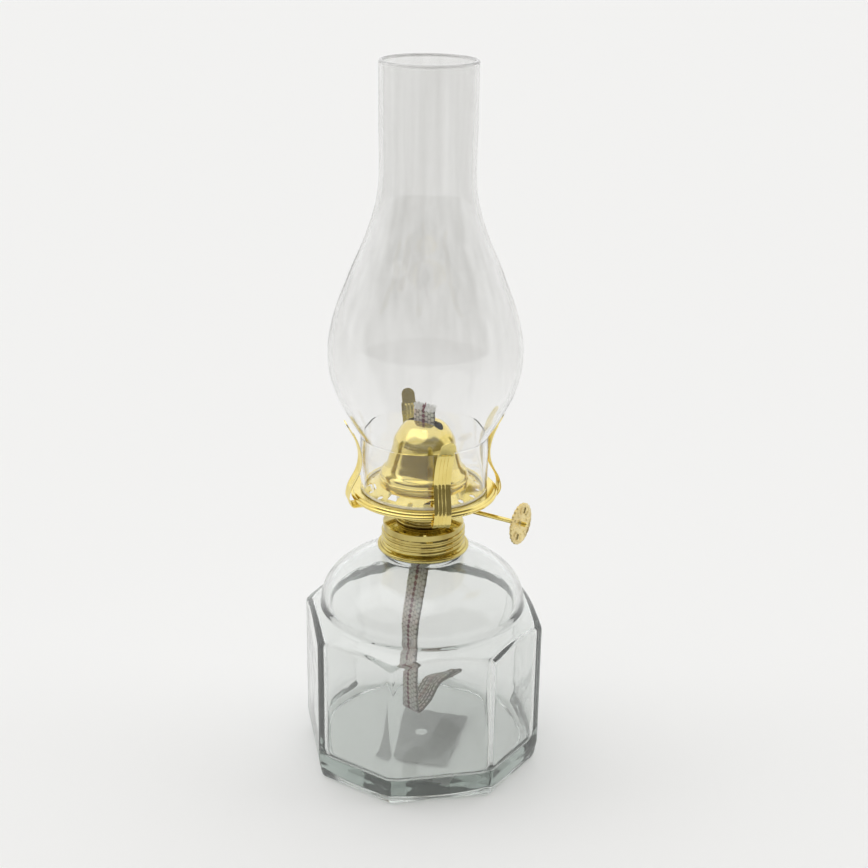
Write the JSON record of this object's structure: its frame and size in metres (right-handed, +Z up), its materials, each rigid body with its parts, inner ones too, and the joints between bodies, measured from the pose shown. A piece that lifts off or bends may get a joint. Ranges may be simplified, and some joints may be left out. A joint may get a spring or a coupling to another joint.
{
  "type": "oil lamp",
  "caption": "Table oil lamp: eight-sided clear glass font, threaded brass flat-wick burner with spring prongs and a scalloped winder knob, and a bellied glass chimney.",
  "frame": {"origin": "centre of the base, where the font stands", "axes": "+Z up along the lamp's axis, +X along the winder spindle towards its knob"},
  "size_m": [0.1142, 0.1142, 0.34],
  "materials": {
    "font_glass": "clear, grey-green, fire-polished",
    "chimney_glass": "clear and thin",
    "brass": "polished and lacquered",
    "steel": "plain",
    "seal": "matt",
    "cotton": "woven cotton with a dark red stripe",
    "label": "matt, blank"
  },
  "bodies": {
    "font": {"font_glass": "font_glass", "base_label": "label"},
    "seal": {"seal_ring": "seal"},
    "burner": {"screw_cap": "brass", "burner_drum": "brass", "tube_plate": "brass", "wick_tube": "brass", "vent_tube": "brass", "air_plate": "brass", "gallery_plate": "brass", "cone": "brass", "bush_outer": "brass", "bush_inner": "brass"},
    "winder": {"winder_shaft": "brass", "winder_knob": "brass", "sprocket_1": "steel", "sprocket_2": "steel"},
    "wick": {"wick": "cotton"},
    "chimney": {"chimney": "chimney_glass"},
    "prong_1": {"prong_1": "brass"},
    "prong_2": {"prong_2": "brass"},
    "prong_3": {"prong_3": "brass"},
    "prong_4": {"prong_4": "brass"}
  },
  "joints": [
    {"name": "burner_rise", "type": "slide", "parent": "font", "child": "seal", "axis": [0, 0, 1], "range_m": [0, 0.0082]},
    {"name": "burner_unscrew", "type": "hinge", "parent": "seal", "child": "burner", "pos_m": [0, 0, 0.117], "axis": [0, 0, 1], "range_deg": [0, 1080]},
    {"name": "knob_turn", "type": "hinge", "parent": "burner", "child": "winder", "pos_m": [0.0492, 0.0053, 0.1313], "axis": [-1, 0, 0], "range_deg": [-135, 100]},
    {"name": "wick_lift", "type": "slide", "parent": "burner", "child": "wick", "axis": [0, 0, 1], "range_m": [-0.0089, 0.0066]},
    {"name": "chimney_lift", "type": "slide", "parent": "burner", "child": "chimney", "axis": [0, 0, 1], "range_m": [0, 0.06]},
    {"name": "prong_1_flex", "type": "hinge", "parent": "burner", "child": "prong_1", "pos_m": [0.0181, 0.0181, 0.1395], "axis": [-0.7071, 0.7071, 0], "range_deg": [0, 6], "stiffness_Nm_per_rad": 0.3},
    {"name": "prong_2_flex", "type": "hinge", "parent": "burner", "child": "prong_2", "pos_m": [-0.0181, 0.0181, 0.1395], "axis": [-0.7071, -0.7071, 0], "range_deg": [0, 6], "stiffness_Nm_per_rad": 0.3},
    {"name": "prong_3_flex", "type": "hinge", "parent": "burner", "child": "prong_3", "pos_m": [-0.0181, -0.0181, 0.1395], "axis": [0.7071, -0.7071, 0], "range_deg": [0, 6], "stiffness_Nm_per_rad": 0.3},
    {"name": "prong_4_flex", "type": "hinge", "parent": "burner", "child": "prong_4", "pos_m": [0.0181, -0.0181, 0.1395], "axis": [0.7071, 0.7071, 0], "range_deg": [0, 6], "stiffness_Nm_per_rad": 0.3}
  ],
  "couplings": [
    {"joint": "burner_rise", "follows": "burner_unscrew", "m_per_rad": 0.00042972},
    {"joint": "knob_turn", "follows": "wick_lift", "rad_per_m": 263.16}
  ]
}
